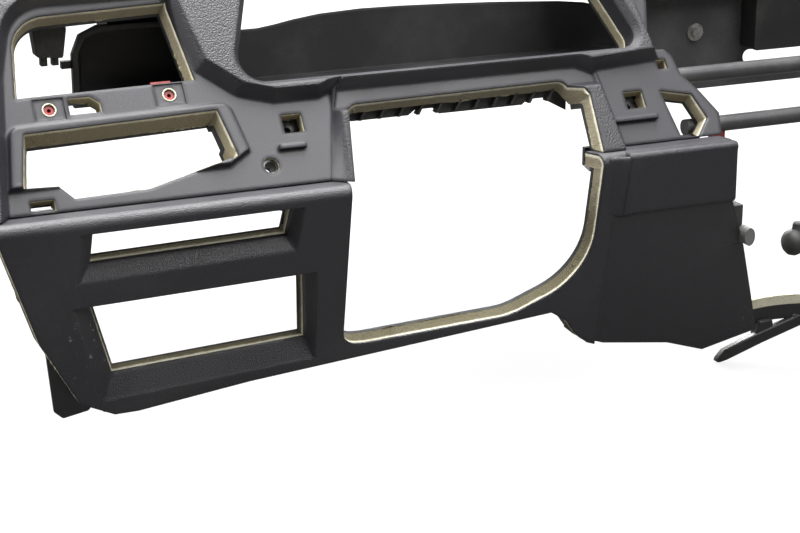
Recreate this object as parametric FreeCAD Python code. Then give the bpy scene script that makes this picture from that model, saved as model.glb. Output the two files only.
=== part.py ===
import FreeCAD, Part
import math
import os

V = FreeCAD.Vector
Rot = FreeCAD.Rotation
Place = FreeCAD.Placement
os.makedirs("parts", exist_ok=True)

# Thickness of the three layers of the moulding
skinThick = 1.5
foamThick = 11.0
carrierThick = 3.5
foamStart = skinThick
carrierStart = skinThick + foamThick
wallThick = carrierStart + carrierThick

# Overall layout, seen from the driver's seat
halfWidth = 738.0
endLean = 0.11
faceLean = 36.0
faceFoot = 12.0
kneeLean = 12.0
topLevel = 152.0
crestRadius = 28.0
windscreenDepth = 430.0
windscreenSag = 100.0
flangeWidth = 40.0
seamGap = 1.0
ledgeFall = 0.08
ledgeDepth = 27.0
recessDepth = 13.0
recessSlope = 3.0
hoodLevel = 212.0
hoodFall = 15.0
hoodRadius = 24.0
lipRoll = 6.0
rimHeight = 6.0

# Local planes: the leaning upper face, the knee face, sections and front views
leanTurn = 90.0 - faceLean
upperPlane = Place(V(0, faceFoot, 0), Rot(V(1, 0, 0), leanTurn))
kneePlane = Place(V(0, 0, 0), Rot(V(1, 0, 0), 90.0 + kneeLean))
sectionPlane = Place(V(0, 0, 0), Rot(V(1, 1, 1), 120))
frontPlane = Place(V(0, 0, 0), Rot(V(1, 0, 0), 90))
planPlane = Place()
faceSlope = math.tan(math.radians(faceLean))
kneeSlope = math.tan(math.radians(kneeLean))


def grown(points, reach):
    count = len(points)
    reaches = reach if isinstance(reach, list) else [reach] * count
    lines = []
    for i in range(count):
        a = points[i]
        b = points[(i + 1) % count]
        dx = b[0] - a[0]
        dy = b[1] - a[1]
        size = math.hypot(dx, dy)
        nx = dy / size
        ny = -dx / size
        lines.append((nx, ny, nx * a[0] + ny * a[1] + reaches[i], dx, dy))
    result = []
    for i in range(count):
        before = lines[i - 1]
        after = lines[i]
        det = before[0] * after[1] - before[1] * after[0]
        radius = points[i][2] if len(points[i]) > 2 else 0.0
        if abs(det) < 1e-9:
            result.append((points[i][0] + after[0] * reaches[i], points[i][1] + after[1] * reaches[i], 0.0))
            continue
        x = (before[2] * after[1] - after[2] * before[1]) / det
        y = (before[0] * after[2] - after[0] * before[2]) / det
        bulges = before[3] * after[4] - before[4] * after[3] > 0
        shift = 0.5 * (reaches[i - 1] + reaches[i])
        if radius > 0:
            radius = max(radius + shift if bulges else radius - shift, 0.6)
        result.append((x, y, radius))
    return result


def outline(points, level=0.0):
    count = len(points)
    starts = []
    arcs = []
    for i in range(count):
        before = V(points[i - 1][0], points[i - 1][1], level)
        here = V(points[i][0], points[i][1], level)
        after = V(points[(i + 1) % count][0], points[(i + 1) % count][1], level)
        radius = points[i][2] if len(points[i]) > 2 else 0.0
        toBefore = (before - here).normalize()
        toAfter = (after - here).normalize()
        if radius < 0.05:
            starts.append((here, here))
            arcs.append(None)
            continue
        half = 0.5 * toBefore.getAngle(toAfter)
        reach = radius / math.tan(half)
        middle = (toBefore + toAfter).normalize()
        centre = here + middle * (radius / math.sin(half))
        first = here + toBefore * reach
        last = here + toAfter * reach
        starts.append((first, last))
        arcs.append(Part.Arc(first, centre - middle * radius, last))
    edges = []
    for i in range(count):
        if arcs[i]:
            edges.append(arcs[i].toShape())
        leave = starts[i][1]
        meet = starts[(i + 1) % count][0]
        if (meet - leave).Length > 1e-6:
            edges.append(Part.LineSegment(leave, meet).toShape())
    return Part.Wire(edges)


def prism(points, low, high, place=planPlane):
    solid = Part.Face(outline(points, low)).extrude(V(0, 0, high - low))
    solid.Placement = place
    return solid


def taper(points, low, growLow, high, growHigh, place=planPlane):
    lower = outline(grown(points, growLow), low)
    upper = outline(grown(points, growHigh), high)
    solid = Part.makeLoft([lower, upper], True, True)
    solid.Placement = place
    return solid


def block(x0, x1, y0, y1, z0, z1):
    return Part.makeBox(x1 - x0, y1 - y0, z1 - z0, V(x0, y0, z0))


def rod(radius, start, end):
    return Part.makeCylinder(radius, (end - start).Length, start, end - start)


def joined(shapes):
    first = shapes[0]
    if len(shapes) == 1:
        return first
    return first.fuse(shapes[1:])


def mirrored(shape):
    return shape.mirror(V(0, 0, 0), V(1, 0, 0))


def flipped(points):
    return [(-p[0],) + tuple(p[1:]) for p in reversed(points)]


def rectangle(x0, x1, y0, y1, radius=0.0):
    return [(x0, y0, radius), (x1, y0, radius), (x1, y1, radius), (x0, y1, radius)]


# Outlines on the leaning upper face, across and up the slope
clusterOutline = [(-523, 93, 20), (-157, 93, 13), (-205, 235, 45), (-474, 235, 45)]
clusterDepth = 22.0
leftRecess = [(-724, -30), (-467, -30), (-442, 70), (-442, 85), (-455, 80), (-492, 80), (-519, 88, 14),
              (-547, 112), (-562, 178), (-685, 178, 38), (-702, 120)]
leftRecessFace = [(-724, -30), (-449, -30), (-450, 70), (-442, 85), (-455, 80), (-492, 80), (-519, 88, 14),
                  (-547, 112), (-562, 178), (-685, 178, 38), (-702, 120)]
bandRecess = [(-448, 64), (-205, 64), (-205, 76), (-222, 85), (-440, 85)]
centreRecess = [(-196, -30), (196, -30), (208, 80), (145, 84), (158, 176), (-158, 176), (-145, 84), (-208, 80)]
passengerRecess = [(232, -30), (724, -30), (702, 120), (685, 178, 38), (562, 178), (547, 112), (520, 86), (232, 86)]
ventOutline = [(-693, 101), (-551, 103), (-561, 171), (-685, 167, 30)]
switchOutline = [(-700, 29), (-674, 28), (-664, 17), (-606, 18), (-534, 36), (-542, 73), (-692, 69)]
switchRim = [(-710, 29), (-540, 30), (-523, 40), (-531, 79, 8), (-702, 76, 8)]
columnUpper = [(-452, -40), (-228, -40), (-223, 52), (-236, 74, 8), (-434, 72, 12)]
columnLower = [(-451, -143, 12), (-432, -145, 60), (-300, -140, 60), (-229, -110, 62), (-231, 40), (-454, 40)]
centreHalf = [(108, -40), (101, 12), (98, 28), (111, 50), (124, 67), (127, 84), (133, 91), (148, 92), (132, 152)]
centreGap = centreHalf + [(-x, y) for x, y in reversed(centreHalf)]
sideGap = [(-141, 12), (-125, 10), (-112, 25), (-120, 47), (-148, 53)]

# Outlines on the knee face
upperSlot = [(-659, -45), (-502, -42), (-498, -16), (-657, -17)]
upperSlotRim = [(-672, -56), (-496, -51), (-492, -13), (-670, -14)]
lowerSlot = [(-640, -145), (-480, -138), (-485, -76), (-659, -80)]
lowerSlotRim = [(-652, -164), (-474, -153), (-478, -72), (-676, -76)]
slotDepth = 12.0
gloveboxGap = [(250, -132, 16), (640, -132, 16), (650, -20, 16), (245, -20, 16)]
kneeFront = [(-736, 4), (-700, -100), (-668, -158), (-640, -172), (-621, -172), (-529, -161), (-261, -140),
             (-246, -150), (-236, -163), (-222, -175), (-197, -184), (-130, -195), (-90, -209), (-36, -196),
             (-74, -104), (-98, -56), (-105, -8), (-105, 4)]


def upperBody(inset, inner=False):
    spill = 12.0 if inner else 0.0
    crest = faceFoot + faceSlope * topLevel
    footLevel = (seamGap - ledgeFall * faceFoot) / (1 + ledgeFall * faceSlope)
    foot = faceFoot + faceSlope * footLevel
    section = [(470, topLevel), (crest, topLevel, crestRadius), (foot, footLevel), (470, seamGap - ledgeFall * 470)]
    section = grown(section, [-inset, -inset, spill, spill])
    body = prism(section, -halfWidth - 20, halfWidth + 20, sectionPlane)
    high = 260.0
    ends = [(-halfWidth, 0), (halfWidth, 0), (halfWidth - endLean * high, high), (-halfWidth + endLean * high, high)]
    ends = grown(ends, [60, -inset, 60, -inset])
    body = body.common(prism(ends, -500, 50, frontPlane))
    hood = [(-590, 60), (-100, 60), (-100, 150), (-158, hoodLevel, 44), (-520, hoodLevel, 44), (-590, 150)]
    hood = grown(hood, [0, -inset, -inset, -inset, -inset, -inset])
    rear = prism(hood, -430, 60, frontPlane)
    hoodFront = faceFoot + faceSlope * hoodLevel
    rear.rotate(V(0, hoodFront, hoodLevel - inset), V(1, 0, 0), -hoodFall)
    hoodRear = hoodLevel - (470 - hoodFront) * math.tan(math.radians(hoodFall))
    middle = faceFoot + faceSlope * 100
    side = [(470, hoodRear), (hoodFront, hoodLevel, hoodRadius), (middle, 100), (470, 100)]
    side = grown(side, [-inset, -inset, 0, 0])
    body = body.fuse(rear.common(prism(side, -700, 0, sectionPlane)))
    cuts = [prism(grown(clusterOutline, inset), -clusterDepth - inset, 90, upperPlane)]
    if inset < foamThick:
        cuts.append(taper(clusterOutline, -lipRoll, inset, lipRoll, inset + 1.6 * lipRoll, upperPlane))
    flare = inset + 0.9 * recessDepth
    floor = -recessDepth - inset
    for points in (bandRecess, centreRecess, flipped(bandRecess), passengerRecess):
        cuts.append(taper(points, floor, inset - recessSlope, 12, flare, upperPlane))
    lower = outline(grown(leftRecess, inset - recessSlope), floor)
    upper = outline(grown(leftRecessFace, flare), 12)
    cuts.append(Part.makeLoft([lower, upper], True, True))
    cuts[-1].Placement = upperPlane
    for cut in cuts:
        body = body.cut(cut)
    rim = taper(switchRim, floor - 1, 2.5 - inset, floor + rimHeight, -inset, upperPlane)
    return body.fuse(rim)


def windscreenTrim(back):
    half = 760.0
    sag = windscreenSag * (half / 700.0) ** 2
    left = V(-half, windscreenDepth - sag - back, 0)
    middle = V(0, windscreenDepth - back, 0)
    right = V(half, windscreenDepth - sag - back, 0)
    edges = [Part.LineSegment(V(-half, -60, 0), V(half, -60, 0)).toShape(),
             Part.LineSegment(V(half, -60, 0), right).toShape(),
             Part.Arc(right, middle, left).toShape(),
             Part.LineSegment(left, V(-half, -60, 0)).toShape()]
    solid = Part.Face(Part.Wire(edges)).extrude(V(0, 0, 500))
    solid.translate(V(0, 0, -60))
    return solid


def kneeBody(inset, withSlots, inner=False):
    spill = 12.0 if inner else 0.0
    deep = 240.0
    ends = [-inset, -inset, spill, spill]
    back = -200 * ledgeFall
    panel = grown([(200, back), (0, 0, 8), (kneeSlope * deep, -deep), (200, -deep)], ends)
    body = prism(panel, -760, -214 - inset, sectionPlane)
    ends = [-inset, -inset, -inset, spill, spill]
    under = grown([(200, back), (3, 0, 6), (12, -56, 5), (70, -deep), (200, -deep)], ends)
    body = body.fuse(prism(under, -262, -20, sectionPlane))
    proud = grown([(200, back), (-4, 0, 4), (7, -54, 6), (60, -80), (200, -80)], ends)
    body = body.fuse(prism(proud, -208 + inset, -20, sectionPlane))
    if not withSlots:
        return body
    for inside, rim in ((upperSlot, upperSlotRim), (lowerSlot, lowerSlotRim)):
        mouth = outline(grown(rim, inset + 0.3), 1.0)
        throat = outline(grown(inside, inset - 1.5), -slotDepth - inset)
        funnel = Part.makeLoft([throat, mouth], True, True)
        funnel.Placement = kneePlane
        body = body.cut(funnel)
    return body


# Every opening of the upper moulding, wider at the front so that the layers show
def upperOpenings():
    cuts = [prism(grown(clusterOutline, 0), -120, 60, upperPlane)]
    for points in (ventOutline, flipped(ventOutline), switchOutline):
        cuts.append(taper(points, -60, -13, 0, 3.5, upperPlane))
    cuts.append(taper(columnUpper, -70, -16, 20, 6.0, upperPlane))
    cuts.append(taper(centreGap, -60, -9, 0, 3.0, upperPlane))
    for points in (sideGap, flipped(sideGap)):
        cuts.append(taper(points, -60, -7, 0, 3.0, upperPlane))
    nutLeft = rectangle(-489, -472, 51, 67)
    nutRight = rectangle(-184, -166, 40, 56)
    earHole = rectangle(-144, -135, 73, 82)
    tabHole = rectangle(-698, -679, 10, 19)
    barHole = [(-654, 84), (-629, 84), (-629, 92), (-636, 98), (-654, 98)]
    for points in (nutLeft, nutRight, earHole, tabHole, barHole):
        cuts.append(prism(points, -60, 20, upperPlane))
        cuts.append(prism(flipped(points), -60, 20, upperPlane))
    return cuts


eyeRadius = 6.5


def eyeCut(sign):
    centre = upperPlane.multVec(V(sign * 506, 26, 0))
    inward = upperPlane.Rotation.multVec(V(0, 0, -1))
    return rod(eyeRadius, centre - inward * 20, centre + inward * 60)


clipSpots = [(-669, 90), (-574, 93)]
clipRadius = 4.8


def clipCuts(radius):
    holes = []
    for sign in (1, -1):
        for x, y in clipSpots:
            spot = upperPlane.multVec(V(sign * x, y, 0))
            holes.append(rod(radius, spot, upperPlane.multVec(V(sign * x, y, -60))))
            pad = rectangle(sign * x - 12, sign * x + 12, y - 9, y + 9)
            holes.append(prism(pad, -recessDepth - 0.9, 0, upperPlane))
    return holes


def stopped(shape):
    back = [(ledgeDepth + 23, 20), (ledgeDepth + 23, -70), (96, -240), (400, -240), (400, 20)]
    return shape.cut(prism(back, -800, 0, sectionPlane))


# Layers cut from the nested bodies
insets = [0.0, foamStart, carrierStart, wallThick]
topCuts = joined(upperOpenings() + [eyeCut(1), eyeCut(-1)] + clipCuts(clipRadius))
skinTrim = windscreenTrim(flangeWidth)
carrierTrim = windscreenTrim(0)
kneeTrim = prism(kneeFront, -300, 60, frontPlane)
columnCut = taper(columnLower, -60, -10, 30, 5, kneePlane)
driverCuts = joined([columnCut] + [taper(points, -45, -7, 0, 2, kneePlane) for points in (upperSlot, lowerSlot)])
passengerCuts = mirrored(taper(gloveboxGap, -30, -6, 0, 3, kneePlane))

upperLayers = []
driverLayers = []
passengerLayers = []
for i in range(3):
    shell = upperBody(insets[i]).cut(upperBody(insets[i + 1], True))
    shell = shell.common(carrierTrim if i == 2 else skinTrim).cut(topCuts)
    upperLayers.append(shell)
    for withSlots in (True, False):
        shell = kneeBody(insets[i], withSlots).cut(kneeBody(insets[i + 1], withSlots, True))
        shell = stopped(shell.common(kneeTrim))
        if i < 2:
            shell = shell.cut(block(-800, 0, ledgeDepth, 300, -30, 10))
        if withSlots:
            driverLayers.append(shell.cut(driverCuts))
        else:
            passengerLayers.append(mirrored(shell.cut(passengerCuts)))

# Small ledges moulded on the trim recess
ledges = [prism(rectangle(-497, -475, 37, 41), -14, -8, upperPlane),
          prism(rectangle(-203, -160, 28, 32), -14, -8, upperPlane)]
upperLayers[0] = upperLayers[0].cut(upperLayers[1]).fuse(ledges)

# Carriers: the upper one with the ribbed strip over the column, the lower ones with a web behind the seam
strip = [(-424, 22, 2), (-372, 22), (-366, 29), (-350, 29), (-344, 20), (-268, 20), (-262, 27), (-248, 27), (-243, 21),
         (-226, 21), (-226, 46), (-424, 46)]
ribPitch = 17.0
ribs = []
for i in range(11):
    x = -418 + i * ribPitch
    lean = [(x, 24), (x + 2.4, 24), (x + 8, 41), (x + 5.6, 41)]
    ribs.append(prism(lean, -79, -72, frontPlane).cut(joined(upperLayers[0:2])))
upperCarrier = joined([upperLayers[2], prism(strip, -81, -78, frontPlane)] + ribs)
columnTop = taper(columnUpper, -70, -16, 20, 6.0, upperPlane)
webBox = block(-722, -112, 46, 50, -20, -4.3)
web = webBox.cut(columnTop).cut(columnCut).cut(eyeCut(-1))
tab = [(-645, -183, 2), (-624, -183, 2), (-624, -172), (-602, -172), (-598, -150), (-648, -150)]
tabs = prism(tab, -wallThick - 3, -wallThick + 0.01, kneePlane)
driverCarrier = joined([driverLayers[2], web, tabs])
passengerCarrier = joined([passengerLayers[2], mirrored(webBox.cut(eyeCut(-1))), mirrored(tabs)])
mountPitch = 200.0
mountDepth = windscreenDepth - 18.0
mountRadius = 3.5
for x in (-mountPitch, mountPitch):
    upperCarrier = upperCarrier.cut(rod(mountRadius, V(x, mountDepth, 100), V(x, mountDepth, 160)))

# Cluster tray behind the hood, its front edge against the lip's flange
lipBack = -(clusterDepth + wallThick)
trayTop = [(-488, 44), (-112, 44), (-112, 82, 6), (-128, 100, 6), (-430, 100, 10), (-466, 90, 8), (-488, 66, 6)]
tray = [prism(trayTop, -190, -187, frontPlane), block(-488, -112, 84, 190, 44, 47)]
for x in (-488, -115):
    side = [(92, 44), (190, 44), (190, 66), (120, 52, 10), (92, 52)]
    tray.append(prism(side, x, x + 3, sectionPlane))
for x in (-420, -300, -180):
    tray.append(prism([(150, 46), (188, 46), (188, 92)], x, x + 2.5, sectionPlane))
tray = joined(tray).cut(prism(rectangle(-760, 760, -200, 400), lipBack, 300, upperPlane))
for x, z in ((-367, 66), (-303, 63)):
    tray = tray.cut(rod(4.0, V(x, 150, z), V(x, 195, z)))

# Side ducts with their brackets, left and right
ductFront = 158.0
ductLength = 150.0
ductOuter = [(-626, 46), (-528, 46), (-528, 107), (-606, 107), (-620, 101), (-626, 87)]
ductEnd = [(-580, 40), (-502, 40), (-502, 80), (-566, 80), (-576, 76), (-580, 66)]
shape = [outline(ductEnd, -ductFront - ductLength), outline(ductOuter, -ductFront)]
duct = Part.makeLoft(shape, True, True)
ductFull = duct.copy()
ductFull.Placement = frontPlane
shape = [outline(grown(ductEnd, -2.6), -ductFront - ductLength + 2.6), outline(grown(ductOuter, -2.6), -ductFront)]
duct = duct.cut(Part.makeLoft(shape, True, True))
duct.Placement = frontPlane
outlet = block(-566, -524, ductFront + 96, ductFront + 140, 70, 110)
duct = duct.cut(outlet)
collar = prism(grown(ductOuter, 2.0), -ductFront - 6, -ductFront, frontPlane)
collar = collar.cut(prism(grown(ductOuter, -1.0), -ductFront - 30, -ductFront, frontPlane))
peg = block(-636, -624, ductFront + 3, ductFront + 9, 76, 82)
leftDuct = duct.fuse([collar, peg])
rightDuct = mirrored(duct.fuse([collar]))
underTop = topLevel - wallThick
hanger = [block(-596, -593, ductFront + 8, ductFront + 40, 98, underTop),
          block(-553, -550, ductFront + 8, ductFront + 40, 98, underTop),
          block(-596, -550, ductFront + 8, ductFront + 11, 98, 121),
          block(-598, -548, ductFront + 8, ductFront + 40, underTop - 3, underTop)]
leftHanger = joined(hanger).cut(Part.makeSolid(ductFull.Shells[0])).cut(leftDuct)
leftHanger = max(leftHanger.Solids, key=lambda piece: piece.Volume)
rightHanger = mirrored(leftHanger)

# Wiring plug hanging beside the left duct
plug = [(-662, 114, 3), (-659, 90, 2), (-638, 88, 2), (-634, 114, 3)]
plugBody = prism(plug, -160, -147, frontPlane)
prongs = [block(-655, -650, 150, 157, 82, 91), block(-646, -641, 150, 157, 82, 91)]
stalk = block(-653, -643, 151, 156, 113, underTop)
plugBody = plugBody.fuse(prongs + [stalk])

# Centre: back panel with a slot, switch box, light part, bolt
panelFront = 150.0
panel = prism([(-108, 8, 8), (108, 8, 8), (108, 120), (92, underTop), (60, underTop), (52, 122), (-52, 122),
               (-60, underTop), (-92, underTop), (-108, 120)], -panelFront - 3, -panelFront, frontPlane)
panel = panel.cut(prism(rectangle(-3, 74, 27, 40, 6.4), -panelFront - 10, -panelFront + 10, frontPlane))
edge = prism([(-108, 8, 8), (108, 8, 8), (108, 118), (-108, 118)], -panelFront - 12, -panelFront - 3, frontPlane)
edge = edge.cut(prism([(-105, 11, 6), (105, 11, 6), (105, 115), (-105, 115)], -200, -100, frontPlane))
boltSpot = V(-56, panelFront, 61)
panel = panel.fuse(edge).cut(rod(3.0, boltSpot, boltSpot + V(0, 20, 0)))
switchBox = prism(rectangle(-7, 50, 44, 96, 3), -panelFront, -panelFront + 24, frontPlane)
lightPart = prism(rectangle(56, 82, 46, 88, 3), -panelFront, -panelFront + 16, frontPlane)
bolt = joined([rod(3.0, boltSpot + V(0, 12, 0), boltSpot), rod(8.0, boltSpot, boltSpot - V(0, 1.5, 0)),
               prism([(5.5 * math.cos(k * math.pi / 3), 5.5 * math.sin(k * math.pi / 3)) for k in range(6)], 1.5, 6,
                     Place(boltSpot, Rot(V(1, 0, 0), 90)))])

# Fasteners in the trim recess
nuts = []
for sign in (1, -1):
    for x, y in ((-480.5, 59), (-175, 48)):
        seat = -recessDepth - wallThick
        plate = prism(rectangle(sign * x - 11, sign * x + 11, y - 10.5, y + 10.5), seat - 1.2, seat, upperPlane)
        spot = upperPlane.multVec(V(sign * x, y, seat))
        inward = upperPlane.Rotation.multVec(V(0, 0, -1))
        plate = plate.cut(rod(3.0, spot - inward * 2, spot + inward * 2))
        bend = prism(rectangle(sign * x - 11, sign * x + 11, y + 9.3, y + 10.5), seat - 5, seat - 1.1, upperPlane)
        leaf = prism(rectangle(sign * x - 11, sign * x + 11, y - 10.5, y + 10.5), seat - 6, seat - 5, upperPlane)
        plate = plate.fuse([bend, leaf])
        nuts.append(plate)
eyes = []
for sign in (1, -1):
    spot = upperPlane.multVec(V(sign * 506, 26, 0))
    inward = upperPlane.Rotation.multVec(V(0, 0, -1))
    eye = rod(eyeRadius, spot + inward * 17, spot + inward * 33)
    eyes.append(eye.cut(rod(4.6, spot, spot + inward * 60)))
clips = []
for sign in (1, -1):
    for x, y in clipSpots:
        spot = upperPlane.multVec(V(sign * x, y, 0))
        inward = upperPlane.Rotation.multVec(V(0, 0, -1))
        head = rod(clipRadius - 1.0, spot + inward * 15.2, spot + inward * 30)
        head = head.cut(rod(1.6, spot, spot + inward * 22))
        wings = prism(rectangle(sign * x - 8, sign * x + 8, y + 3, y + 18), -32, -29, upperPlane)
        clips.append(head.fuse(wings))

# Brackets and blocks round the lower mouldings
plate = [(-692, -111, 2), (-684, -176), (-677, -183, 3), (-656, -179, 3), (-641, -140), (-652, -104)]
leftBracket = prism(plate, -wallThick - 3, -wallThick, kneePlane).cut(driverCarrier)
leftBracket = max(leftBracket.Solids, key=lambda piece: piece.Volume)
rightBracket = mirrored(leftBracket)
allLayers = joined(driverLayers[0:2] + passengerLayers[0:2] + [driverCarrier, passengerCarrier])
sideBlock = block(-100, -68, 26, 58, -101, -66).cut(allLayers)
sideBlock = max(sideBlock.Solids, key=lambda piece: piece.Volume)
boss = rod(8.0, V(-74, 14, -92), V(-74, 26, -92)).cut(joined([allLayers, sideBlock]))
boss = max(boss.Solids, key=lambda piece: piece.Volume)


def arcBar(half, ends, middle, thick, low, high):
    front = [V(-half, ends, low), V(0, middle, low), V(half, ends, low)]
    back = [V(-half, ends + thick, low), V(0, middle + thick, low), V(half, ends + thick, low)]
    edges = [Part.Arc(*front).toShape(), Part.LineSegment(front[2], back[2]).toShape(),
             Part.Arc(back[2], back[1], back[0]).toShape(), Part.LineSegment(back[0], front[0]).toShape()]
    return Part.Face(Part.Wire(edges)).extrude(V(0, 0, high - low))


rail = arcBar(66, 64, 90, 7, -204, -190).cut(allLayers)
rail = max(rail.Solids, key=lambda piece: piece.Volume)
railPad = arcBar(66, 64, 90, 7, -190, -181).cut(allLayers)
railPad = max(railPad.Solids, key=lambda piece: piece.Volume)
blade = arcBar(84, 62, 92, 3, -236, -224)
links = [block(-30, -16, 82, 92, -225, -200), block(16, 30, 82, 92, -225, -200)]
blade = blade.fuse([link.cut(rail) for link in links])
knob = rod(15, V(-37, 32, -106), V(-6, 32, -106))
knobRod = rod(5, V(-6, 32, -106), V(90, 32, -106)).cut(allLayers)
knobRod = max(knobRod.Solids, key=lambda piece: piece.Volume)
upperBar = rod(7, V(-136, 72, 42), V(136, 72, 42)).cut(joined(upperLayers[0:2] + [upperCarrier]))
upperBar = max(upperBar.Solids, key=lambda piece: piece.Volume)
lowerBar = rod(7, V(-121, 57, 0), V(121, 57, 0))
catch = block(-94, -82, 53, 61, -12, -6.2).cut(lowerBar)

nodes = [("upper_skin", upperLayers[0]), ("upper_foam", upperLayers[1]), ("upper_carrier", upperCarrier),
         ("driver_carrier", driverCarrier), ("passenger_carrier", passengerCarrier),
         ("driver_skin", driverLayers[0]), ("driver_foam", driverLayers[1]),
         ("passenger_skin", passengerLayers[0]), ("passenger_foam", passengerLayers[1]),
         ("cluster_tray", tray), ("left_duct", leftDuct), ("right_duct", rightDuct),
         ("left_duct_hanger", leftHanger), ("right_duct_hanger", rightHanger), ("wiring_plug", plugBody),
         ("centre_panel", panel), ("switch_box", switchBox), ("light_part", lightPart), ("centre_bolt", bolt),
         ("spring_nuts", Part.makeCompound(nuts)), ("eye_bushings", Part.makeCompound(eyes)),
         ("red_clips", Part.makeCompound(clips)), ("red_catch", catch),
         ("centre_bar_upper", upperBar), ("centre_bar_lower", lowerBar),
         ("left_bracket", leftBracket), ("right_bracket", rightBracket), ("side_block", sideBlock), ("side_boss", boss),
         ("lower_rail", rail), ("rail_pad", railPad), ("lower_blade", blade), ("knob", knob), ("knob_rod", knobRod)]

# The row's origin is the middle hole of the windscreen edge, on the flange's top
origin = V(0, mountDepth, topLevel - carrierStart)
for name, shape in nodes:
    shape.translate(-origin)
    print(name, len(shape.Solids), round(shape.Volume), shape.isValid())
    shape.exportStep("parts/%s.step" % name)
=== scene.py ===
import math
import bmesh
import bpy
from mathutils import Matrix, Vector, noise
from mathutils.bvhtree import BVHTree


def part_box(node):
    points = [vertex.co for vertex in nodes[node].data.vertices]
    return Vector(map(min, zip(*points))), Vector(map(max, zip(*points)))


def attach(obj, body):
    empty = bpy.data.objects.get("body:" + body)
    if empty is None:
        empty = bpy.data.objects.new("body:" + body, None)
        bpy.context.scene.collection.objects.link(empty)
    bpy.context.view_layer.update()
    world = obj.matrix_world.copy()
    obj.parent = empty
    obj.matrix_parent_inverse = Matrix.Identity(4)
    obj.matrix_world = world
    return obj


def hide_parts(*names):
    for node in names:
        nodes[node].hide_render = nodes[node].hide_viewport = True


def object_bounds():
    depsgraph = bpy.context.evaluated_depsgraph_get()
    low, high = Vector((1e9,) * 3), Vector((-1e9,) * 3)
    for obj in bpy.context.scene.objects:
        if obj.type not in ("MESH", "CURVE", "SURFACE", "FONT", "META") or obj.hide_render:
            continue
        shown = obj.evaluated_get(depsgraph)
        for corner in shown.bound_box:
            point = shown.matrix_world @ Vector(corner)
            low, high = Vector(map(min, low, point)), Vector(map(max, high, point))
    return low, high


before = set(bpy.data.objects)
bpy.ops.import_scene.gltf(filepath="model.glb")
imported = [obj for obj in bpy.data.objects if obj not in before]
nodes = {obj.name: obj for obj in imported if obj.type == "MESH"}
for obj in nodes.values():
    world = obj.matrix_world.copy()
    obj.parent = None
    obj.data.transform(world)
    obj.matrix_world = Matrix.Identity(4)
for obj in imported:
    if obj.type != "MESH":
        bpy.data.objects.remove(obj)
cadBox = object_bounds()
print("frame loaded:", len(nodes), "nodes")

scene = bpy.context.scene
scene.view_settings.view_transform = "Standard"

# faces of the moulding, in metres
upperFoot = (0.0, -0.400, -0.1395)  # a point on the upper face's slope
upperNormal = (0.0, -0.809, 0.588)
kneeFoot = Vector((0.0, -0.412, -0.1395))  # the knee panel leans back below the ledge
kneeNormal = Vector((0.0, -0.9781, -0.2079))


cameraSettings = {
    "place": (-1.02454, -1.78326, 0.27817),
    "turn": (72.0, 0.0, -24.0),
    "lens": 90.0,
}


def makeCamera(s):
    data = bpy.data.cameras.new("camera")
    data.lens = s["lens"]
    data.sensor_width = 36.0
    data.clip_start = 0.05
    data.clip_end = 60.0
    camera = bpy.data.objects.new("camera", data)
    camera.location = s["place"]
    camera.rotation_euler = [math.radians(a) for a in s["turn"]]
    scene.collection.objects.link(camera)
    scene.camera = camera


makeCamera(cameraSettings)
print("camera set")


def addObject(name, mesh):
    thing = bpy.data.objects.new(name, mesh)
    scene.collection.objects.link(thing)
    return thing


def startMaterial(name):
    material = bpy.data.materials.new(name)
    material.use_nodes = True
    tree = material.node_tree
    tree.nodes.clear()
    output = tree.nodes.new("ShaderNodeOutputMaterial")
    shader = tree.nodes.new("ShaderNodeBsdfPrincipled")
    tree.links.new(shader.outputs["BSDF"], output.inputs["Surface"])
    return material, tree, shader


def put(tree, kind, values=None, **settings):
    node = tree.nodes.new(kind)
    for key, value in settings.items():
        setattr(node, key, value)
    for key, value in (values or {}).items():
        if hasattr(value, "is_linked"):
            tree.links.new(value, node.inputs[key])
        else:
            node.inputs[key].default_value = value
    return node


def maths(tree, operation, first, second=0.0, third=0.0, clamp=False):
    node = put(tree, "ShaderNodeMath", {0: first, 1: second, 2: third}, operation=operation, use_clamp=clamp)
    return node.outputs[0]


def vectorMaths(tree, operation, first, second=(0, 0, 0), output="Vector"):
    node = put(tree, "ShaderNodeVectorMath", {0: first, 1: second}, operation=operation)
    return node.outputs[output]


def span(tree, value, low, high, smooth=True):
    kind = "SMOOTHSTEP" if smooth else "LINEAR"
    node = put(tree, "ShaderNodeMapRange", {"Value": value, "From Min": low, "From Max": high},
               interpolation_type=kind)
    return node.outputs["Result"]


def blendColour(tree, factor, first, second, way="MIX"):
    node = put(tree, "ShaderNodeMix", data_type="RGBA", blend_type=way)
    for key, value in ((0, factor), (6, first), (7, second)):
        if hasattr(value, "is_linked"):
            tree.links.new(value, node.inputs[key])
        else:
            node.inputs[key].default_value = value if key == 0 else (*value, 1.0)
    return node.outputs[2]


def objectPoint(tree):
    return put(tree, "ShaderNodeTexCoord").outputs["Object"]


def startGroup(name, inputs, outputs):
    group = bpy.data.node_groups.new(name, "ShaderNodeTree")
    for label, kind, value in inputs:
        socket = group.interface.new_socket(name=label, in_out="INPUT", socket_type=kind)
        if value is not None:
            socket.default_value = value
    for label, kind in outputs:
        group.interface.new_socket(name=label, in_out="OUTPUT", socket_type=kind)
    return group, group.nodes.new("NodeGroupInput"), group.nodes.new("NodeGroupOutput")


def placeGroup(tree, group, values):
    node = tree.nodes.new("ShaderNodeGroup")
    node.node_tree = group
    for key, value in values.items():
        if hasattr(value, "is_linked"):
            tree.links.new(value, node.inputs[key])
        else:
            node.inputs[key].default_value = value
    return node


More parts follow.
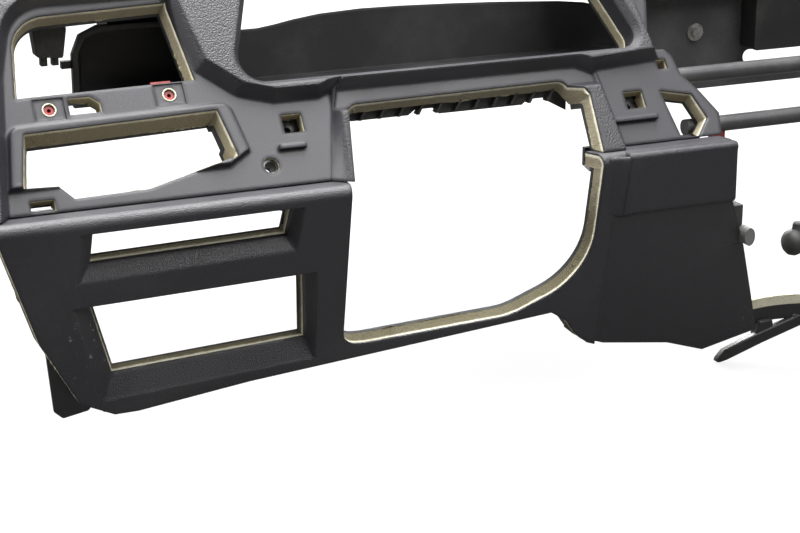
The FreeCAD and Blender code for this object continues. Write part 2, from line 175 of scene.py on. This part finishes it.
def makePebbleGrain():
    inputs = (("Point", "NodeSocketVector", None), ("Cell", "NodeSocketFloat", 0.0014),
              ("Softness", "NodeSocketFloat", 0.35))
    group, start, end = startGroup("pebbleGrain", inputs, (("Height", "NodeSocketFloat"),))
    rate = maths(group, "DIVIDE", 1.0, start.outputs["Cell"])
    wobble = put(group, "ShaderNodeTexNoise", {"Vector": start.outputs["Point"], "Scale": 420.0, "Detail": 1.0})
    shift = vectorMaths(group, "MULTIPLY", wobble.outputs["Color"], (0.0008, 0.0008, 0.0008))
    place = vectorMaths(group, "ADD", start.outputs["Point"], shift)
    cells = put(group, "ShaderNodeTexVoronoi", {"Vector": place, "Scale": rate,
                                               "Smoothness": start.outputs["Softness"]}, feature="SMOOTH_F1")
    dome = maths(group, "SUBTRACT", 1.0, cells.outputs["Distance"])
    group.links.new(dome, end.inputs["Height"])
    return group


def makeHaze():
    inputs = (("Point", "NodeSocketVector", None), ("Rate", "NodeSocketFloat", 9.0),
              ("Low", "NodeSocketFloat", 0.45), ("High", "NodeSocketFloat", 0.75))
    group, start, end = startGroup("dustHaze", inputs, (("Mask", "NodeSocketFloat"),))
    broad = put(group, "ShaderNodeTexNoise", {"Vector": start.outputs["Point"], "Scale": start.outputs["Rate"],
                                             "Detail": 5.0, "Roughness": 0.62})
    fine = put(group, "ShaderNodeTexNoise", {"Vector": start.outputs["Point"], "Scale": 420.0, "Detail": 2.0})
    mixed = maths(group, "MULTIPLY_ADD", fine.outputs["Fac"], 0.25, broad.outputs["Fac"])
    low = maths(group, "ADD", start.outputs["Low"], 0.125)
    high = maths(group, "ADD", start.outputs["High"], 0.125)
    mask = span(group, mixed, low, high)
    group.links.new(mask, end.inputs["Mask"])
    return group


def makeScuff():
    inputs = (("Point", "NodeSocketVector", None), ("Centre", "NodeSocketVector", None),
              ("Reach", "NodeSocketFloat", 0.03), ("Rate", "NodeSocketFloat", 150.0))
    group, start, end = startGroup("scuffMarks", inputs, (("Mask", "NodeSocketFloat"),))
    away = vectorMaths(group, "DISTANCE", start.outputs["Point"], start.outputs["Centre"], "Value")
    near = maths(group, "SUBTRACT", 1.0, maths(group, "DIVIDE", away, start.outputs["Reach"]), clamp=True)
    specks = put(group, "ShaderNodeTexNoise", {"Vector": start.outputs["Point"], "Scale": start.outputs["Rate"],
                                              "Detail": 4.0, "Roughness": 0.7})
    bright = span(group, specks.outputs["Fac"], 0.60, 0.72)
    mask = maths(group, "MULTIPLY", bright, span(group, near, 0.0, 0.7))
    group.links.new(mask, end.inputs["Mask"])
    return group


def makeSlopeDepth():
    inputs = (("Point", "NodeSocketVector", None),)
    group, start, end = startGroup("slopeDepth", inputs, (("Depth", "NodeSocketFloat"),))
    gap = vectorMaths(group, "SUBTRACT", start.outputs["Point"], upperFoot)
    depth = vectorMaths(group, "DOT_PRODUCT", gap, upperNormal, "Value")
    group.links.new(depth, end.inputs["Depth"])
    return group


pebbleGrain = makePebbleGrain()
dustHaze = makeHaze()
scuffMarks = makeScuff()
slopeDepth = makeSlopeDepth()
print("shader groups built")


skinSettings = {
    "colour": (0.023, 0.022, 0.026),
    "worn": (0.038, 0.037, 0.041),
    "roughness": 0.42,
    "recessColour": (0.026, 0.025, 0.030),
    "recessRoughness": 0.36,
    "cell": 0.0014,
    "fineCell": 0.0010,
    "depth": 0.00042,
    "edge": 0.0042,
    "scuffs": ((-0.655, -0.386, -0.245, 0.045), (-0.560, -0.365, -0.330, 0.045),
               (-0.055, -0.375, -0.320, 0.030)),
    "scuffColour": (0.30, 0.30, 0.29),
}


def makeSkin(name, s, recessed):
    material, tree, shader = startMaterial(name)
    point = objectPoint(tree)
    coarse = placeGroup(tree, pebbleGrain, {"Point": point, "Cell": s["cell"],
                                            "Softness": 0.30}).outputs["Height"]
    fine = placeGroup(tree, pebbleGrain, {"Point": point, "Cell": s["fineCell"],
                                          "Softness": 0.45}).outputs["Height"]
    haze = placeGroup(tree, dustHaze, {"Point": point, "Rate": 7.0, "Low": 0.45, "High": 0.72}).outputs["Mask"]
    colour = blendColour(tree, haze, s["colour"], s["worn"])
    rough = maths(tree, "MULTIPLY_ADD", haze, 0.10, s["roughness"])
    height = coarse
    if recessed:  # the trim recesses are smooth, and the rest is pebbled
        depth = placeGroup(tree, slopeDepth, {"Point": point}).outputs["Depth"]
        inside = maths(tree, "MULTIPLY", span(tree, depth, -0.002, -0.007),
                       span(tree, depth, -0.022, -0.015))
        colour = blendColour(tree, inside, colour, s["recessColour"])
        height = maths(tree, "MULTIPLY_ADD", maths(tree, "SUBTRACT", fine, coarse), inside, coarse)
        rough = maths(tree, "MULTIPLY_ADD", inside, s["recessRoughness"] - s["roughness"], rough)
        strength = maths(tree, "MULTIPLY_ADD", inside, -0.8, 1.0)
    else:
        height = fine
        strength = 0.7
        for x, y, z, reach in s["scuffs"]:
            mask = placeGroup(tree, scuffMarks, {"Point": point, "Centre": (x, y, z), "Reach": reach,
                                                 "Rate": 160.0}).outputs["Mask"]
            colour = blendColour(tree, mask, colour, s["scuffColour"])
    soft = put(tree, "ShaderNodeBevel", {"Radius": s["edge"]}, samples=4)
    bump = put(tree, "ShaderNodeBump", {"Height": height, "Strength": strength, "Distance": s["depth"],
                                        "Normal": soft.outputs["Normal"]})
    tree.links.new(colour, shader.inputs["Base Color"])
    tree.links.new(rough, shader.inputs["Roughness"])
    tree.links.new(bump.outputs["Normal"], shader.inputs["Normal"])
    return material


foamSettings = {
    "cream": (0.80, 0.76, 0.59),
    # painted shade: the tan colour stands for the foam deep in the cuts lying in shadow
    "tan": (0.30, 0.265, 0.185),
    # the olive colour is painted shade on the lower cut walls, mixed with real dust from the haze
    "oliveShadeAndDirt": (0.12, 0.108, 0.065),
    "roughness": 0.9,
    "depth": 0.0006,
}


def makeFoam(name, s):
    material, tree, shader = startMaterial(name)
    point = objectPoint(tree)
    cells = put(tree, "ShaderNodeTexVoronoi", {"Vector": point, "Scale": 900.0})
    rough = put(tree, "ShaderNodeTexNoise", {"Vector": point, "Scale": 90.0, "Detail": 6.0, "Roughness": 0.6})
    haze = placeGroup(tree, dustHaze, {"Point": point, "Rate": 16.0, "Low": 0.35, "High": 0.80}).outputs["Mask"]
    away = put(tree, "ShaderNodeAttribute", attribute_name="awayFromSkin").outputs["Fac"]
    away = maths(tree, "MULTIPLY_ADD", maths(tree, "SUBTRACT", rough.outputs["Fac"], 0.5), 0.5, away)
    height = put(tree, "ShaderNodeSeparateXYZ", {"Vector": point}).outputs["Z"]
    low = span(tree, height, -0.15, -0.21)  # painted shade: lower down, the cut walls deep behind the skin are darkened to olive as if in shadow
    # painted shade: the cut walls go from cream at the skin to tan deeper in, where the cut is in shadow
    colour = blendColour(tree, span(tree, away, 0.22, 0.75), s["cream"], s["tan"])
    # painted shade on the deep lower cut walls, together with real dust from the haze, darkens the foam to olive
    shadeAndDirt = maths(tree, "MULTIPLY", low, span(tree, away, 0.15, 0.6))
    shadeAndDirt = maths(tree, "MAXIMUM", maths(tree, "MULTIPLY", shadeAndDirt, 0.85), maths(tree, "MULTIPLY", haze, 0.25))
    colour = blendColour(tree, shadeAndDirt, colour, s["oliveShadeAndDirt"])
    lift = maths(tree, "MULTIPLY_ADD", rough.outputs["Fac"], 2.0, cells.outputs["Distance"])
    bump = put(tree, "ShaderNodeBump", {"Height": lift, "Strength": 0.9, "Distance": s["depth"]})
    tree.links.new(colour, shader.inputs["Base Color"])
    tree.links.new(bump.outputs["Normal"], shader.inputs["Normal"])
    shader.inputs["Roughness"].default_value = s["roughness"]
    shader.inputs["Specular IOR Level"].default_value = 0.2
    return material


plasticSettings = {
    "carrier": {"colour": (0.020, 0.020, 0.021), "dust": (0.060, 0.058, 0.054), "roughness": 0.50, "edge": 0.0010},
    "tray": {"colour": (0.028, 0.028, 0.030), "dust": (0.060, 0.060, 0.060), "roughness": 0.58, "edge": 0.0015},
    "duct": {"colour": (0.018, 0.018, 0.019), "dust": (0.050, 0.048, 0.045), "roughness": 0.44, "edge": 0.0020},
    "panel": {"colour": (0.060, 0.060, 0.063), "dust": (0.110, 0.110, 0.108), "roughness": 0.55, "edge": 0.0015},
    "pale": {"colour": (0.420, 0.430, 0.420), "dust": (0.280, 0.280, 0.260), "roughness": 0.45, "edge": 0.0010},
    "bar": {"colour": (0.045, 0.045, 0.048), "dust": (0.090, 0.088, 0.085), "roughness": 0.40, "edge": 0.0010},
    # painted light: the flap is lighter than the ducts so it reads deep inside them, where little light reaches
    "flap": {"colour": (0.050, 0.050, 0.052), "dust": (0.080, 0.079, 0.076), "roughness": 0.50, "edge": 0.0010},
    "grey": {"colour": (0.140, 0.140, 0.142), "dust": (0.200, 0.198, 0.190), "roughness": 0.50, "edge": 0.0010},
}


def makePlastic(name, s):
    material, tree, shader = startMaterial(name)
    point = objectPoint(tree)
    haze = placeGroup(tree, dustHaze, {"Point": point, "Rate": 14.0, "Low": 0.42, "High": 0.78}).outputs["Mask"]
    colour = blendColour(tree, haze, s["colour"], s["dust"])
    rough = maths(tree, "MULTIPLY_ADD", haze, 0.22, s["roughness"])
    grain = put(tree, "ShaderNodeTexNoise", {"Vector": point, "Scale": 700.0, "Detail": 3.0})
    soft = put(tree, "ShaderNodeBevel", {"Radius": s["edge"]}, samples=4)
    bump = put(tree, "ShaderNodeBump", {"Height": grain.outputs["Fac"], "Strength": 0.35, "Distance": 0.0002,
                                        "Normal": soft.outputs["Normal"]})
    tree.links.new(colour, shader.inputs["Base Color"])
    tree.links.new(rough, shader.inputs["Roughness"])
    tree.links.new(bump.outputs["Normal"], shader.inputs["Normal"])
    return material


zincSettings = {
    "bright": {"colour": (0.60, 0.60, 0.58), "stain": (0.30, 0.29, 0.26), "roughness": 0.32},
    "dark": {"colour": (0.16, 0.16, 0.16), "stain": (0.06, 0.06, 0.055), "roughness": 0.42},
}


def makeZinc(name, s):
    material, tree, shader = startMaterial(name)
    point = objectPoint(tree)
    haze = placeGroup(tree, dustHaze, {"Point": point, "Rate": 120.0, "Low": 0.40, "High": 0.70}).outputs["Mask"]
    colour = blendColour(tree, haze, s["colour"], s["stain"])
    rough = maths(tree, "MULTIPLY_ADD", haze, 0.25, s["roughness"])
    tree.links.new(colour, shader.inputs["Base Color"])
    tree.links.new(rough, shader.inputs["Roughness"])
    shader.inputs["Metallic"].default_value = 1.0
    return material


redSettings = {"colour": (0.27, 0.012, 0.011), "dark": (0.10, 0.006, 0.006), "roughness": 0.38}


def makeRed(name, s):
    material, tree, shader = startMaterial(name)
    point = objectPoint(tree)
    haze = placeGroup(tree, dustHaze, {"Point": point, "Rate": 90.0, "Low": 0.45, "High": 0.80}).outputs["Mask"]
    tree.links.new(blendColour(tree, haze, s["colour"], s["dark"]), shader.inputs["Base Color"])
    rough = maths(tree, "MULTIPLY_ADD", haze, 0.2, s["roughness"])
    tree.links.new(rough, shader.inputs["Roughness"])
    return material


skinUpper = makeSkin("skin_pebbled", skinSettings, True)
skinLower = makeSkin("skin_fine", skinSettings, False)
foam = makeFoam("foam_cream", foamSettings)
plastics = {key: makePlastic("plastic_" + key, s) for key, s in plasticSettings.items()}
zinc = makeZinc("zinc_steel", zincSettings["bright"])
darkZinc = makeZinc("zinc_dark", zincSettings["dark"])
red = makeRed("red_plastic", redSettings)

finishes = {
    "upper_skin": skinUpper, "driver_skin": skinLower, "passenger_skin": skinLower,
    "upper_foam": foam, "driver_foam": foam, "passenger_foam": foam, "rail_pad": foam,
    "cluster_tray": plastics["tray"], "left_duct": plastics["duct"], "right_duct": plastics["duct"],
    "left_duct_hanger": plastics["duct"], "right_duct_hanger": plastics["duct"],
    "centre_panel": plastics["panel"], "light_part": plastics["pale"], "side_boss": plastics["grey"],
    "centre_bar_upper": plastics["bar"], "centre_bar_lower": plastics["bar"],
    "centre_bolt": zinc, "spring_nuts": darkZinc, "eye_bushings": darkZinc,
    "red_clips": red, "red_catch": red,
}
for name, thing in nodes.items():
    finish = finishes.get(name, plastics["carrier"])
    thing.data.materials.clear()
    thing.data.materials.append(finish)
print("finishes laid on")


def spot(x, y, z):  # millimetres from the middle of the ledge's front edge
    return Vector((x, y - 412.0, z - 139.5)) / 1000.0


def makePiece(name, shape, material, standsFor=(), angle=35.0):
    bmesh.ops.recalc_face_normals(shape, faces=shape.faces)
    mesh = bpy.data.meshes.new(name)
    shape.to_mesh(mesh)
    shape.free()
    for face in mesh.polygons:
        face.use_smooth = True
    mesh.set_sharp_from_angle(angle=math.radians(angle))
    mesh.materials.append(material)
    thing = addObject(name, mesh)
    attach(thing, "root")
    if standsFor:
        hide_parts(*standsFor)
    return thing


def softEdges(thing, width, segments=2):
    bevel = thing.modifiers.new("edges", "BEVEL")
    bevel.width = width
    bevel.segments = segments
    bevel.limit_method = "ANGLE"
    bevel.angle_limit = math.radians(40)


def addSlab(shape, points, low, high, place):  # a flat outline given thickness
    front = [shape.verts.new(place(a, b, low)) for a, b in points]
    back = [shape.verts.new(place(a, b, high)) for a, b in points]
    shape.faces.new(front)
    shape.faces.new(back[::-1])
    for i in range(len(points)):
        j = (i + 1) % len(points)
        shape.faces.new((front[i], back[i], back[j], front[j]))


def startFrom(node):  # the node's own shape, as the start of the piece that stands for it
    source = nodes[node].data
    shape = bmesh.new()
    corners = [shape.verts.new(v.co) for v in source.vertices]
    for face in source.polygons:
        ring = [corners[i] for i in face.vertices]
        if len(set(ring)) == len(ring) and shape.faces.get(ring) is None:
            shape.faces.new(ring)
    bmesh.ops.remove_doubles(shape, verts=shape.verts, dist=2e-6)
    return shape


# the slots' rims are thin behind the skin, and the upper corner by the seam is trimmed back
slotSettings = {"left": -0.690, "right": -0.468, "bottom": -0.3145, "top": -0.1475,
                "start": 0.0143, "limit": 0.030, "share": 0.6}


def inBox(point, low, high):
    return all(low[i] < point[i] < high[i] for i in range(3))


def slimSlots(shape, s):
    for v in shape.verts:
        depth = -(v.co - kneeFoot).dot(kneeNormal)
        if s["left"] < v.co.x < s["right"] and s["bottom"] < v.co.z < s["top"] and depth > s["start"]:
            v.co += kneeNormal * ((min(depth, s["limit"]) - s["start"]) * s["share"])


cornerSettings = {"low": spot(-240, 30, -22), "high": spot(-226, 90, 0), "side": -0.2245}


def trimCorner(shape, s):
    for v in shape.verts:
        if inBox(v.co, s["low"], s["high"]):
            v.co.x = s["side"]


# the ribbed strip above the column opening hangs less far down
ribSettings = {"low": spot(-452, 58, 15), "high": spot(-229, 96, 44), "share": 0.6}


def raiseRibs(shape, s):
    for v in shape.verts:
        if inBox(v.co, s["low"], s["high"]):
            v.co.z = s["high"].z - (s["high"].z - v.co.z) * s["share"]


def makeBackings():
    shape = startFrom("driver_carrier")
    slimSlots(shape, slotSettings)
    trimCorner(shape, cornerSettings)
    makePiece("driver_backing", shape, plastics["carrier"], ["driver_carrier"])
    shape = startFrom("upper_carrier")
    raiseRibs(shape, ribSettings)
    makePiece("upper_backing", shape, plastics["carrier"], ["upper_carrier"])


makeBackings()
print("carriers fitted")

# the foam's cut edges are rippled, and torn in places along the back
tearSettings = {
    "step": 0.0030,
    "rounds": 7,
    "touch": 0.0003,
    "still": 0.0008,
    "reach": 0.0045,
    "ripple": 0.0004,
    "tear": 0.0022,
}


def makeFoamPiece(name, node, skinNode, s, fit=None):
    shape = startFrom(node)
    if fit:
        fit(shape, slotSettings)
    skinMesh = nodes[skinNode].data
    skinTree = BVHTree.FromPolygons([v.co for v in skinMesh.vertices],
                                    [p.vertices[:] for p in skinMesh.polygons])
    known = {}

    def gap(v):
        key = v.co.to_tuple(6)
        if key not in known:
            known[key] = skinTree.find_nearest(v.co)[3]
        return known[key]

    def isWall(face):  # a cut edge runs from the skin to the back
        gaps = [gap(v) for v in face.verts]
        return min(gaps) < s["touch"] < max(gaps)

    walls = shape.faces.layers.int.new("wall")
    for face in shape.faces:
        face[walls] = 1 if isWall(face) else 0
    for _ in range(s["rounds"]):
        edges = [e for e in shape.edges
                 if e.calc_length() > s["step"] and any(f[walls] for f in e.link_faces)]
        if not edges:
            break
        bmesh.ops.subdivide_edges(shape, edges=edges, cuts=1)
        bmesh.ops.triangulate(shape, faces=[f for f in shape.faces if len(f.verts) > 3])
    low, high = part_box(node)
    away = shape.verts.layers.float.new("awayFromSkin")
    moves = {}
    for v in shape.verts:
        distance = gap(v)
        v[away] = min(distance / s["reach"], 1.0)
        sides = [f for f in v.link_faces if f[walls]]
        if not sides or distance < s["still"]:
            continue
        out = Vector((0, 0, 0))
        for f in sides:
            out += f.normal * f.calc_area()
        if out.length == 0:
            continue
        out.normalize()
        size = noise.noise(v.co * 260.0) * s["ripple"]
        if len(sides) < len(v.link_faces):  # the ragged back edge
            torn = max(0.0, noise.noise(v.co * 38.0) - 0.05)
            size += (0.35 + noise.noise(v.co * 520.0)) * torn * 2.2 * s["tear"]
        moves[v] = v.co + out * size
    for v, place in moves.items():
        v.co = [min(max(place[i], low[i]), high[i]) for i in range(3)]
    thing = makePiece(name, shape, foam, [node], 25.0)
    print(name, len(thing.data.polygons), "faces")


makeFoamPiece("foam_upper", "upper_foam", "upper_skin", tearSettings)
makeFoamPiece("foam_driver", "driver_foam", "driver_skin", tearSettings, slimSlots)
makeFoamPiece("foam_passenger", "passenger_foam", "passenger_skin", tearSettings)

# a plain dark panel stands behind the cluster opening
traySettings = {
    "outline": [(-488, 46), (-488, 88), (-484, 90), (-461, 90), (-446, 92), (-429, 95), (-405, 98), (-368, 99.6),
                (-331, 99.2), (-283, 97.6), (-235, 95.4), (-175, 91.6), (-150, 88.6), (-131, 84), (-118, 76),
                (-112, 66), (-112, 46)],
    "shelf": [(92, 44), (93, 47), (97, 51), (101, 52), (119, 52), (187, 48), (187, 44)],
    "front": 186.0,
    "back": 190.0,
}


def makeTray(s):
    shape = bmesh.new()
    addSlab(shape, s["outline"], s["front"], s["back"], lambda x, z, y: spot(x, y, z))
    addSlab(shape, s["shelf"], -487.0, -113.0, lambda y, z, x: spot(x, y, z))
    tray = makePiece("cluster_back", shape, plastics["tray"], ["cluster_tray"])
    softEdges(tray, 0.0012)


makeTray(traySettings)
print("panel behind the cluster made")

# a closed flap stands in each duct
flapSettings = {
    "mouth": [(-626, 46), (-528, 46), (-528, 107), (-606, 107), (-620, 101), (-626, 87)],
    "end": [(-580, 40), (-502, 40), (-502, 80), (-566, 80), (-576, 76), (-580, 66)],
    "place": 0.29,
    "inset": 0.955,
    "thick": 2.0,
}


def makeFlap(name, s, side):
    outline = [(a[0] + (b[0] - a[0]) * s["place"], a[1] + (b[1] - a[1]) * s["place"])
               for a, b in zip(s["mouth"], s["end"])]
    centre = [sum(p[i] for p in outline) / len(outline) for i in (0, 1)]
    outline = [[centre[i] + (p[i] - centre[i]) * s["inset"] for i in (0, 1)] for p in outline]
    front = 158.0 + 150.0 * s["place"]
    shape = bmesh.new()
    addSlab(shape, outline, front, front + s["thick"], lambda x, z, y: spot(x * side, y, z))
    flap = makePiece(name, shape, plastics["flap"])
    softEdges(flap, 0.0006)


makeFlap("left_duct_flap", flapSettings, 1)
makeFlap("right_duct_flap", flapSettings, -1)

# the fold between the column surround and the bolster's front
foldSettings = {
    "across": [(-225, -0.3), (-220, 0.15), (-217, 0.6), (-214, 1.4), (-211, 2.6), (-209, 3.5), (-207, 4.15),
               (-204, 4.5), (-200, 4.3), (-196, 3.6)],
    "down": [(-2.4, 1.8), (-4, 0.9), (-6, 0.3), (-10, 0.0), (-25, 0.0), (-40, 0.0), (-52, 0.0),
             (-54.5, 0.5), (-57, 2.2)],
    "lean": 0.2126,
    "thick": 0.0028,
}


def makeFold(s):
    shape = bmesh.new()
    rows = []
    for z, sink in s["down"]:
        row = []
        for x, lift in s["across"]:
            row.append(shape.verts.new(spot(x, -z * s["lean"] - lift + sink, z)))
        rows.append(row)
    for upper, lower in zip(rows, rows[1:]):
        for i in range(len(upper) - 1):
            shape.faces.new((upper[i], lower[i], lower[i + 1], upper[i + 1]))
    fold = makePiece("bolster_fold", shape, skinLower, (), 60.0)
    sheet = fold.modifiers.new("thickness", "SOLIDIFY")
    sheet.thickness = s["thick"]
    sheet.offset = -1.0


makeFold(foldSettings)

knobSettings = {
    "profile": [(-28.0, 0.6), (-27.5, 4.6), (-26.0, 8.4), (-23.2, 11.0), (-19.0, 12.0), (-15.0, 11.2), (-12.0, 9.4),
                (-9.5, 8.4), (-6.0, 8.4), (-6.0, 0.6)],
    "neck": [(-101.0, 6.0), (-98.5, 5.2), (-95.0, 4.6), (-92.0, 4.4), (-91.2, 3.6), (-91.0, 0.6)],
    "centre": (-15.0, 32.0, -109.0),
    "steps": 40,
}


def addTurned(shape, profile, steps, place):
    rings = []
    for along, radius in profile:
        rings.append([shape.verts.new(place(along, radius, 2 * math.pi * i / steps)) for i in range(steps)])
    for first, second in zip(rings, rings[1:]):
        for i in range(steps):
            j = (i + 1) % steps
            shape.faces.new((first[i], first[j], second[j], second[i]))
    shape.faces.new(rings[0][::-1])
    shape.faces.new(rings[-1])


def makeKnob(s):
    shape = bmesh.new()
    x, y, z = s["centre"]
    addTurned(shape, s["profile"], s["steps"],
              lambda along, r, a: spot(along, y + r * math.cos(a), z + r * math.sin(a)))
    addTurned(shape, s["neck"], s["steps"],
              lambda along, r, a: spot(x + r * math.cos(a), y + r * math.sin(a), along))
    makePiece("knob_round", shape, plastics["carrier"], ["knob"])


makeKnob(knobSettings)

# the block and boss by the bolster's edge are narrower than their solids
edgeBlockSettings = {"blockEnd": -0.0775, "blockEdge": 0.004, "bossStart": -0.082, "bossShare": 0.65,
                     "bossEdge": 0.0015}


def makeEdgeBlock(s):
    shape = startFrom("side_block")
    for v in shape.verts:
        v.co.x = min(v.co.x, s["blockEnd"])
    block = makePiece("side_block_trimmed", shape, plastics["carrier"], ["side_block"])
    softEdges(block, s["blockEdge"], 4)
    shape = startFrom("side_boss")
    for v in shape.verts:
        v.co.x = s["bossStart"] + (v.co.x - s["bossStart"]) * s["bossShare"]
    boss = makePiece("side_boss_trimmed", shape, plastics["grey"], ["side_boss"])
    softEdges(boss, s["bossEdge"], 3)


makeEdgeBlock(edgeBlockSettings)

bladeSettings = {
    "outline": [(-57.5, -235), (-56.5, -231.5), (-50, -224.6), (-30, -217.8), (-9, -211.8), (34, -200.6),
                (58, -200.6), (63, -204), (61, -209.5), (35, -211.5), (-9, -223.2), (-46, -234.4), (-54, -235.8)],
    "links": [[(-16, -216), (4, -211), (2, -202), (-12, -202)],
              [(22, -206), (40, -203), (38, -200.4), (25, -200.4)]],
}


def makeBlade(s):
    shape = bmesh.new()
    addSlab(shape, s["outline"], 84.0, 91.0, lambda x, z, y: spot(x, y, z))
    for points in s["links"]:
        addSlab(shape, points, 85.0, 94.8, lambda x, z, y: spot(x, y, z))
    blade = makePiece("lower_blade_straight", shape, plastics["carrier"], ["lower_blade"])
    softEdges(blade, 0.0012)


makeBlade(bladeSettings)

clipSettings = {"places": [(-669, 90), (-574, 93), (574, 93), (669, 90)], "radius": 5.0, "tube": 0.55,
                "depth": 13.8, "steps": 36}


def makeClipRims(s):
    shape = bmesh.new()
    along, up = Vector((1, 0, 0)), Vector((0, 0.588, 0.809))
    out = Vector((0, -0.809, 0.588))
    for x, v in s["places"]:
        centre = spot(x, 12 + 0.588 * v + 0.809 * s["depth"], 0.809 * v - 0.588 * s["depth"])
        rings = []
        for i in range(s["steps"]):
            a = 2 * math.pi * i / s["steps"]
            ray = along * math.cos(a) + up * math.sin(a)
            wobble = 1 + 0.03 * noise.noise(Vector((x, math.cos(a) * 2, math.sin(a) * 2)))
            rings.append([shape.verts.new(centre + (ray * (s["radius"] * wobble + s["tube"] * math.cos(b))
                                                    + out * s["tube"] * math.sin(b)) / 1000)
                          for b in (k * math.pi / 4 for k in range(8))])
        for i in range(s["steps"]):
            first, second = rings[i], rings[(i + 1) % s["steps"]]
            for k in range(8):
                shape.faces.new((first[k], second[k], second[(k + 1) % 8], first[(k + 1) % 8]))
    makePiece("clip_hole_rims", shape, foam)


makeClipRims(clipSettings)
print("pieces made")


floorSettings = {"size": 12.0, "drop": 0.0005, "glow": 0.86, "glossShare": 0.12, "colour": 0.09}


def makeFloor(s):
    mesh = bpy.data.meshes.new("floor")
    half, level = s["size"] / 2, cadBox[0].z - s["drop"]
    mesh.from_pydata([(-half, -half, level), (half, -half, level), (half, half, level), (-half, half, level)],
                     [], [(0, 1, 2, 3)])
    floor = addObject("floor", mesh)
    material, tree, shader = startMaterial("floor_pale")
    path = put(tree, "ShaderNodeLightPath")
    seen = maths(tree, "MULTIPLY_ADD", path.outputs["Is Glossy Ray"], s["glossShare"], path.outputs["Is Camera Ray"])
    seen = maths(tree, "MAXIMUM", seen, path.outputs["Is Transmission Ray"])
    speck = put(tree, "ShaderNodeTexNoise", {"Scale": 3.0, "Detail": 2.0})
    tone = blendColour(tree, speck.outputs["Fac"], (s["colour"],) * 3, (s["colour"] * 0.97,) * 3)
    tree.links.new(tone, shader.inputs["Base Color"])
    shader.inputs["Roughness"].default_value = 0.9
    shader.inputs["Specular IOR Level"].default_value = 0.0
    shader.inputs["Emission Color"].default_value = (1.0, 1.0, 1.0, 1.0)
    tree.links.new(maths(tree, "MULTIPLY", seen, s["glow"]), shader.inputs["Emission Strength"])
    mesh.materials.append(material)


makeFloor(floorSettings)

lampSettings = {
    "key": {"place": (0.3, -1.5, 1.5), "aim": (-0.35, -0.3, -0.05), "size": 1.3, "power": 32.0},
    "top": {"place": (-0.3, 0.1, 1.9), "aim": (-0.3, -0.35, -0.1), "size": 2.0, "power": 215.0},
    "back": {"place": (0.5, 2.2, 1.3), "aim": (-0.3, -0.35, -0.1), "size": 1.6, "power": 230.0},
    "side": {"place": (-2.3, -0.3, 0.9), "aim": (-0.4, -0.3, -0.1), "size": 1.2, "power": 34.0},
}


def makeLamp(name, s):
    data = bpy.data.lights.new(name, "AREA")
    data.size = s["size"]
    data.energy = s["power"]
    lamp = bpy.data.objects.new(name, data)
    lamp.location = s["place"]
    aim = Vector(s["aim"]) - Vector(s["place"])
    lamp.rotation_euler = aim.to_track_quat("-Z", "Y").to_euler()
    scene.collection.objects.link(lamp)


for name, s in lampSettings.items():
    makeLamp("lamp_" + name, s)

worldSettings = {"fill": 0.11}


def makeWorld(s):
    world = bpy.data.worlds.new("studio")
    scene.world = world
    world.use_nodes = True
    tree = world.node_tree
    tree.nodes.clear()
    output = tree.nodes.new("ShaderNodeOutputWorld")
    path = put(tree, "ShaderNodeLightPath")
    aim = put(tree, "ShaderNodeSeparateXYZ", {"Vector": put(tree, "ShaderNodeTexCoord").outputs["Generated"]})
    behind = span(tree, aim.outputs["Y"], -0.1, 0.5)  # the white backdrop stands behind the object
    gloss = maths(tree, "MULTIPLY", path.outputs["Is Glossy Ray"], behind)
    seen = maths(tree, "MAXIMUM", path.outputs["Is Camera Ray"], gloss)
    seen = maths(tree, "MAXIMUM", seen, path.outputs["Is Transmission Ray"])
    soft = put(tree, "ShaderNodeBackground", {"Color": (1.0, 1.0, 1.0, 1.0), "Strength": s["fill"]})
    white = put(tree, "ShaderNodeBackground", {"Color": (1.0, 1.0, 1.0, 1.0), "Strength": 1.0})
    both = put(tree, "ShaderNodeMixShader", {0: seen})
    tree.links.new(soft.outputs[0], both.inputs[1])
    tree.links.new(white.outputs[0], both.inputs[2])
    tree.links.new(both.outputs[0], output.inputs["Surface"])


makeWorld(worldSettings)
print("floor and light set")
